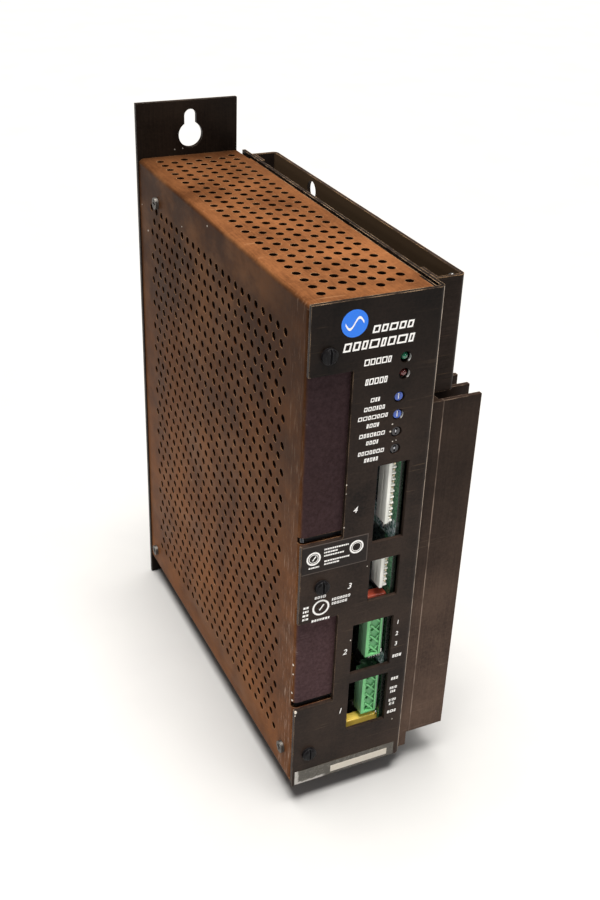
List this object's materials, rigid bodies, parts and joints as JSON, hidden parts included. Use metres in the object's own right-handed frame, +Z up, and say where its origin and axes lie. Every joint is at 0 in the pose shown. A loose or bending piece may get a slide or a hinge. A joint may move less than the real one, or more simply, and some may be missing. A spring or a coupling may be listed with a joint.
{
  "type": "servo drive",
  "caption": "Narrow panel-mounted servo drive in a bent sheet case, with a perforated cover, side fins, a keyhole tab, plug-in headers and screwdriver trimmers.",
  "frame": {"origin": "on the rear mounting face, straight below the keyhole and level with the underside of the housing", "axes": "+Z up, +Y to the back (into the mounting panel), +X to the right as seen from the front, towards the heat sink"},
  "size_m": [0.0728, 0.1785, 0.242],
  "materials": {
    "chassis_paint": "satin dark brown paint, worn to bare metal at the edges",
    "cover_paint": "satin brown anodised or painted sheet",
    "plate_paint": "satin black paint",
    "sink_black": "matte black-brown anodised extrusion",
    "channel_paint": "satin dark brown paint",
    "board_green": "glass-epoxy board with green solder mask",
    "plated_steel": "zinc-plated steel",
    "black_plastic": "black moulded plastic",
    "pad_grey": "soft thermal pad",
    "clamp_steel": "spring steel strip",
    "can_sleeve": "shrink sleeve over an aluminium can",
    "relay_black": "moulded relay case",
    "ferrite": "ferrite",
    "winding_tape": "taped winding",
    "choke_green": "coated toroid",
    "copper_wire": "enamelled copper wire",
    "fuse_glass": "glass tube fuse",
    "clip_tin": "tinned spring clips",
    "film_yellow": "yellow film capacitor case",
    "film_red": "red film capacitor case",
    "can_blue": "small can sleeves",
    "chip_black": "moulded chip packages",
    "crystal_can": "metal can",
    "header_green": "green header plastic",
    "contact_tin": "tinned contacts",
    "header_cream": "natural nylon header",
    "contact_gold": "gold-flashed contacts",
    "lens_green": "dark green lens, unlit",
    "lens_red": "dark red lens, unlit",
    "trimmer_blue": "blue trimmer body",
    "rotor_white": "white trimmer rotor",
    "screw_black": "black screws",
    "rivet_dark": "painted rivets",
    "label_dark": "printed sticker",
    "label_clear": "glossy strip label"
  },
  "bodies": {
    "housing": {"chassis": "chassis_paint", "perforated_cover": "cover_paint", "mounting_plate": "plate_paint", "heat_sink": "sink_black", "side_channel": "channel_paint", "power_board": "board_green", "control_board": "board_green", "board_standoffs": "plated_steel", "board_screws": "plated_steel", "board_link": "black_plastic", "insulator_pad": "pad_grey", "power_transistors": "black_plastic", "bridge_rectifier": "black_plastic", "clamp_bar": "clamp_steel", "clamp_screws": "plated_steel", "bus_capacitors": "can_sleeve", "soft_start_relay": "relay_black", "transformer_core": "ferrite", "transformer_winding": "winding_tape", "choke_core": "choke_green", "choke_winding": "copper_wire", "fuse": "fuse_glass", "fuse_clips": "clip_tin", "filter_capacitor": "film_yellow", "snubber_capacitor": "film_red", "signal_capacitors": "can_blue", "logic_chips": "chip_black", "processor_chip": "chip_black", "crystal": "crystal_can", "power_header": "header_green", "power_header_pins": "contact_tin", "motor_header": "header_green", "motor_header_pins": "contact_tin", "command_header": "header_cream", "command_header_pins": "contact_gold", "feedback_header": "header_cream", "feedback_header_pins": "contact_gold", "power_led": "lens_green", "fault_led": "lens_red", "led_mounts": "black_plastic", "offset_trimmer": "trimmer_blue", "command_trimmer": "trimmer_blue", "loop_trimmer": "trimmer_blue", "limit_trimmer": "trimmer_blue", "panel_screws": "screw_black", "clinch_nuts": "plated_steel", "side_screws": "plated_steel", "rear_screws": "plated_steel", "heat_sink_screws": "plated_steel", "channel_rivets": "rivet_dark", "plate_rivets": "rivet_dark", "approval_label": "label_dark", "serial_label": "label_clear"},
    "offset_rotor": {"offset_rotor": "rotor_white"},
    "command_rotor": {"command_rotor": "rotor_white"},
    "loop_rotor": {"loop_rotor": "rotor_white"},
    "limit_rotor": {"limit_rotor": "rotor_white"}
  },
  "joints": [
    {"name": "offset_trim_turn", "type": "hinge", "parent": "housing", "child": "offset_rotor", "pos_m": [0.0111, -0.1733, 0.17091], "axis": [0, 1, 0], "range_deg": [-120, 120]},
    {"name": "command_trim_turn", "type": "hinge", "parent": "housing", "child": "command_rotor", "pos_m": [0.0111, -0.1733, 0.16404], "axis": [0, 1, 0], "range_deg": [-120, 120]},
    {"name": "loop_trim_turn", "type": "hinge", "parent": "housing", "child": "loop_rotor", "pos_m": [0.0111, -0.1733, 0.15717], "axis": [0, 1, 0], "range_deg": [-120, 120]},
    {"name": "limit_trim_turn", "type": "hinge", "parent": "housing", "child": "limit_rotor", "pos_m": [0.0111, -0.1733, 0.1503], "axis": [0, 1, 0], "range_deg": [-120, 120]}
  ]
}
